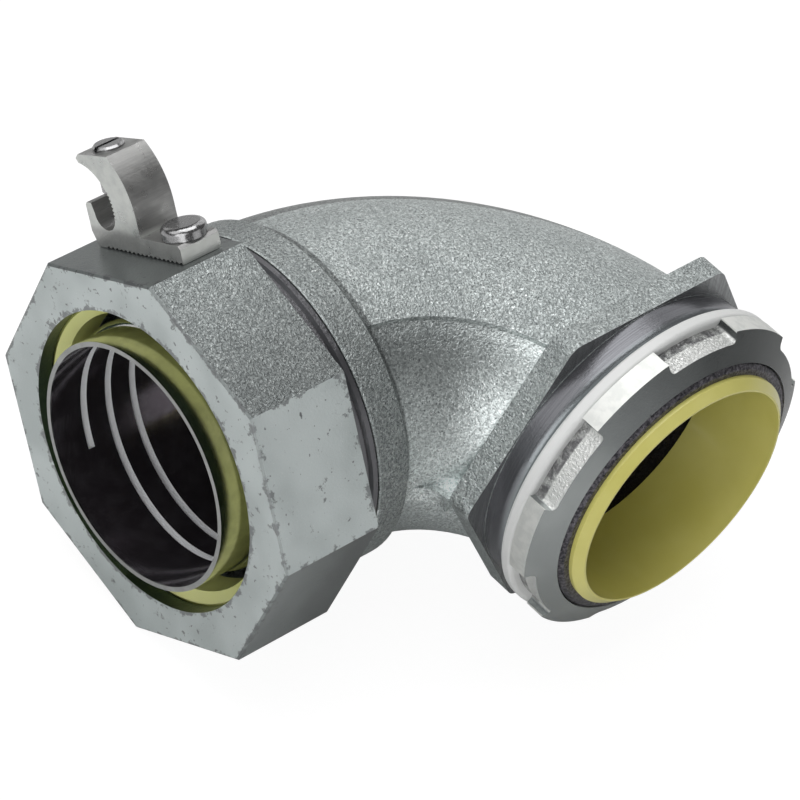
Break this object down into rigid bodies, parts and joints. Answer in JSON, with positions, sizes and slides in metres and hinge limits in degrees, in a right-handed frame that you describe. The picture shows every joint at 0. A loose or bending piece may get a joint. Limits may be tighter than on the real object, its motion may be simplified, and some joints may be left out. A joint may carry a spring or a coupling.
{
  "type": "liquidtight conduit connector",
  "caption": "Right-angle metal connector joining flexible liquidtight conduit to an enclosure, with gland nut, locknut, sealing washer and a clamp lug for a ground wire.",
  "frame": {"origin": "on the threaded hub's axis, in the plane of the hexagon collar's front face", "axes": "+X out along the threaded hub into the enclosure, -Y out along the gland towards the conduit, +Z square to both, on the side of the grounding lug"},
  "size_m": [0.1042, 0.1231, 0.0884],
  "materials": {
    "elbow_body": "rough cast, bright zinc plated",
    "gland_nut": "rough cast, bright zinc plated",
    "sealing_ring": "moulded, pale yellow",
    "ferrule": "pressed sheet steel, zinc plated",
    "throat_insulator": "moulded, pale yellow",
    "sealing_washer": "moulded, white",
    "locknut": "cast, zinc plated",
    "ground_lug": "extruded, tin plated",
    "mounting_screw": "zinc plated",
    "clamp_screw": "zinc plated"
  },
  "bodies": {
    "body": {"elbow_body": "elbow_body", "ferrule": "ferrule", "throat_insulator": "throat_insulator"},
    "ring": {"sealing_ring": "sealing_ring"},
    "nut": {"gland_nut": "gland_nut"},
    "washer": {"sealing_washer": "sealing_washer"},
    "locknut": {"locknut": "locknut"},
    "lug": {"ground_lug": "ground_lug"},
    "lug_screw": {"mounting_screw": "mounting_screw"},
    "wire_screw": {"clamp_screw": "clamp_screw"}
  },
  "joints": [
    {"name": "ring_travel", "type": "slide", "parent": "body", "child": "ring", "axis": [0, -1, 0], "range_m": [0, 0.00925]},
    {"name": "nut_turn", "type": "hinge", "parent": "ring", "child": "nut", "pos_m": [-0.0443, -0.0681, 0], "axis": [0, -1, 0], "range_deg": [0, 1440]},
    {"name": "washer_travel", "type": "slide", "parent": "body", "child": "washer", "axis": [1, 0, 0], "range_m": [0, 0.00442]},
    {"name": "locknut_turn", "type": "hinge", "parent": "washer", "child": "locknut", "pos_m": [0.0125, 0, 0], "axis": [1, 0, 0], "range_deg": [0, 720]},
    {"name": "lug_swivel", "type": "hinge", "parent": "nut", "child": "lug", "pos_m": [-0.05561, -0.0674, 0.03773], "axis": [-0.512, 0, 0.859], "range_deg": [-90, 90]},
    {"name": "lug_screw_turn", "type": "hinge", "parent": "nut", "child": "lug_screw", "pos_m": [-0.05561, -0.0674, 0.03773], "axis": [-0.512, 0, 0.859], "range_deg": [0, 360]},
    {"name": "wire_screw_travel", "type": "slide", "parent": "lug", "child": "wire_screw", "axis": [-0.512, 0, 0.859], "range_m": [-0.0035, 0.005]}
  ],
  "couplings": [
    {"joint": "ring_travel", "follows": "nut_turn", "m_per_rad": 0.00036749},
    {"joint": "washer_travel", "follows": "locknut_turn", "m_per_rad": 0.00035153}
  ]
}
